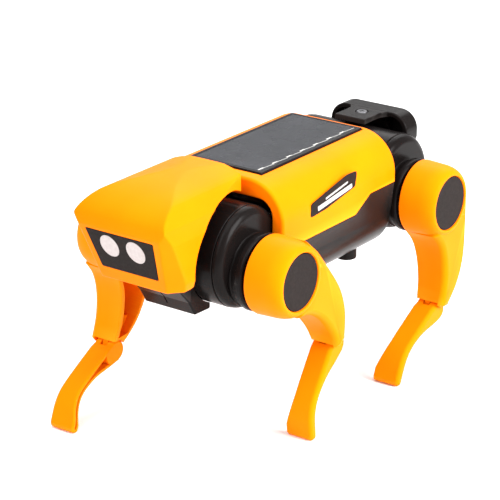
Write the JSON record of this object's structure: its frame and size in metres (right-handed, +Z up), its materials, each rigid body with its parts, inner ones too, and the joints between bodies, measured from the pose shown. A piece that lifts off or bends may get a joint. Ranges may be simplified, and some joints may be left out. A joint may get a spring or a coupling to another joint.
{
  "type": "solar robot kit",
  "caption": "Walking four-legged solar robot with a visor head, drum hips on crank linkages, hinged knees and a solar panel on its back.",
  "frame": {"origin": "on the ground, under the middle of the outline", "axes": "+Z up; the head points to -Y; +X is the robot's own left"},
  "size_m": [0.1126, 0.216, 0.1249],
  "materials": {
    "yellow_shell": "satin moulded ABS",
    "black_shell": "satin moulded ABS",
    "matt_black": "matt printed disc",
    "eye_white": "matt",
    "cell": "clear epoxy over a dark cell",
    "white_nylon": "natural nylon",
    "steel": "zinc plated",
    "wire": "PVC insulation"
  },
  "bodies": {
    "chassis": {"upper_shell": "yellow_shell", "lower_shell": "black_shell", "belly_screw_1": "steel", "belly_screw_2": "steel", "belly_screw_3": "steel", "belly_screw_4": "steel", "solar_panel_frame": "black_shell", "solar_cell": "cell", "head_shell": "yellow_shell", "eye_plate": "matt_black", "eye_left": "eye_white", "eye_right": "eye_white", "neck_mount": "black_shell", "rear_hood": "black_shell", "hood_screw": "steel", "gearbox_plate_left": "black_shell", "gearbox_plate_right": "black_shell", "first_gear_arbor": "steel", "second_gear_arbor": "steel", "motor": "steel", "panel_wire": "wire", "front_pod": "black_shell", "front_pod_cap_left": "black_shell", "front_pod_cap_right": "black_shell", "rear_pod": "black_shell", "rear_pod_cap_left": "black_shell", "rear_pod_cap_right": "black_shell"},
    "motor_rotor": {"motor_pinion": "white_nylon"},
    "first_gear_body": {"first_gear": "white_nylon"},
    "second_gear_body": {"second_gear": "white_nylon"},
    "crank": {"crank_shaft": "white_nylon", "crank_disc_right": "white_nylon"},
    "leg_front_left": {"hip_shaft_front_left": "white_nylon", "thigh_front_left": "yellow_shell", "hub_cap_front_left": "matt_black", "hip_screw_front_left": "steel"},
    "lower_leg_front_left": {"shin_front_left": "yellow_shell", "knee_pin_front_left": "steel"},
    "rod_front_left": {"connecting_rod_front_left": "white_nylon"},
    "leg_front_right": {"hip_shaft_front_right": "white_nylon", "thigh_front_right": "yellow_shell", "hub_cap_front_right": "matt_black", "hip_screw_front_right": "steel"},
    "lower_leg_front_right": {"shin_front_right": "yellow_shell", "knee_pin_front_right": "steel"},
    "rod_front_right": {"connecting_rod_front_right": "white_nylon"},
    "leg_rear_left": {"hip_shaft_rear_left": "white_nylon", "thigh_rear_left": "yellow_shell", "hub_cap_rear_left": "matt_black", "hip_screw_rear_left": "steel"},
    "lower_leg_rear_left": {"shin_rear_left": "yellow_shell", "knee_pin_rear_left": "steel"},
    "rod_rear_left": {"connecting_rod_rear_left": "white_nylon"},
    "leg_rear_right": {"hip_shaft_rear_right": "white_nylon", "thigh_rear_right": "yellow_shell", "hub_cap_rear_right": "matt_black", "hip_screw_rear_right": "steel"},
    "lower_leg_rear_right": {"shin_rear_right": "yellow_shell", "knee_pin_rear_right": "steel"},
    "rod_rear_right": {"connecting_rod_rear_right": "white_nylon"}
  },
  "joints": [
    {"name": "crank_spin", "type": "hinge", "parent": "chassis", "child": "crank", "pos_m": [0, 0.00642, 0.0825], "axis": [1, 0, 0], "continuous": true},
    {"name": "second_gear_spin", "type": "hinge", "parent": "chassis", "child": "second_gear_body", "pos_m": [0.009, 0.01921, 0.08767], "axis": [1, 0, 0], "continuous": true},
    {"name": "first_gear_spin", "type": "hinge", "parent": "chassis", "child": "first_gear_body", "pos_m": [0.012, 0.0115, 0.09911], "axis": [1, 0, 0], "continuous": true},
    {"name": "motor_spin", "type": "hinge", "parent": "chassis", "child": "motor_rotor", "pos_m": [0.01, -0.00218, 0.09731], "axis": [1, 0, 0], "continuous": true},
    {"name": "front_left_swing", "type": "hinge", "parent": "chassis", "child": "leg_front_left", "pos_m": [0.044, -0.05458, 0.0825], "axis": [1, 0, 0], "range_deg": [-49.2, 0]},
    {"name": "front_left_knee", "type": "hinge", "parent": "leg_front_left", "child": "lower_leg_front_left", "pos_m": [0.0467, -0.01891, 0.03998], "axis": [1, 0, 0], "range_deg": [-0.72, 29.28]},
    {"name": "front_left_rod_turn", "type": "hinge", "parent": "leg_front_left", "child": "rod_front_left", "pos_m": [0.0207, -0.05958, 0.09341], "axis": [1, 0, 0], "range_deg": [0, 49.2]},
    {"name": "front_right_swing", "type": "hinge", "parent": "chassis", "child": "leg_front_right", "pos_m": [-0.044, -0.05458, 0.0825], "axis": [1, 0, 0], "range_deg": [0, 49.2]},
    {"name": "front_right_knee", "type": "hinge", "parent": "leg_front_right", "child": "lower_leg_front_right", "pos_m": [-0.0467, -0.06038, 0.0273], "axis": [1, 0, 0], "range_deg": [-19.49, 10.51]},
    {"name": "front_right_rod_turn", "type": "hinge", "parent": "leg_front_right", "child": "rod_front_right", "pos_m": [-0.0207, -0.04958, 0.09341], "axis": [1, 0, 0], "range_deg": [-49.2, 0]},
    {"name": "rear_left_swing", "type": "hinge", "parent": "chassis", "child": "leg_rear_left", "pos_m": [0.044, 0.06742, 0.0825], "axis": [1, 0, 0], "range_deg": [0, 49.2]},
    {"name": "rear_left_knee", "type": "hinge", "parent": "leg_rear_left", "child": "lower_leg_rear_left", "pos_m": [0.0467, 0.06742, 0.027], "axis": [1, 0, 0], "range_deg": [-12.97, 17.03]},
    {"name": "rear_left_rod_turn", "type": "hinge", "parent": "leg_rear_left", "child": "rod_rear_left", "pos_m": [0.0224, 0.06242, 0.07159], "axis": [1, 0, 0], "range_deg": [-49.2, 0]},
    {"name": "rear_right_swing", "type": "hinge", "parent": "chassis", "child": "leg_rear_right", "pos_m": [-0.044, 0.06742, 0.0825], "axis": [1, 0, 0], "range_deg": [-49.2, 0]},
    {"name": "rear_right_knee", "type": "hinge", "parent": "leg_rear_right", "child": "lower_leg_rear_right", "pos_m": [-0.0467, 0.1031, 0.03998], "axis": [1, 0, 0], "range_deg": [-0.72, 29.28]},
    {"name": "rear_right_rod_turn", "type": "hinge", "parent": "leg_rear_right", "child": "rod_rear_right", "pos_m": [-0.0224, 0.07242, 0.07159], "axis": [1, 0, 0], "range_deg": [0, 49.2]}
  ],
  "couplings": [
    {"joint": "second_gear_spin", "follows": "crank_spin", "ratio": -3.6},
    {"joint": "first_gear_spin", "follows": "crank_spin", "ratio": 12.96},
    {"joint": "motor_spin", "follows": "crank_spin", "ratio": -46.656},
    {"joint": "front_left_rod_turn", "follows": "front_left_swing", "ratio": -1},
    {"joint": "front_right_swing", "follows": "front_left_swing", "ratio": -1},
    {"joint": "front_right_rod_turn", "follows": "front_left_swing", "ratio": 1},
    {"joint": "rear_left_swing", "follows": "front_left_swing", "ratio": -1},
    {"joint": "rear_left_rod_turn", "follows": "front_left_swing", "ratio": 1},
    {"joint": "rear_right_swing", "follows": "front_left_swing", "ratio": 1},
    {"joint": "rear_right_rod_turn", "follows": "front_left_swing", "ratio": -1}
  ]
}
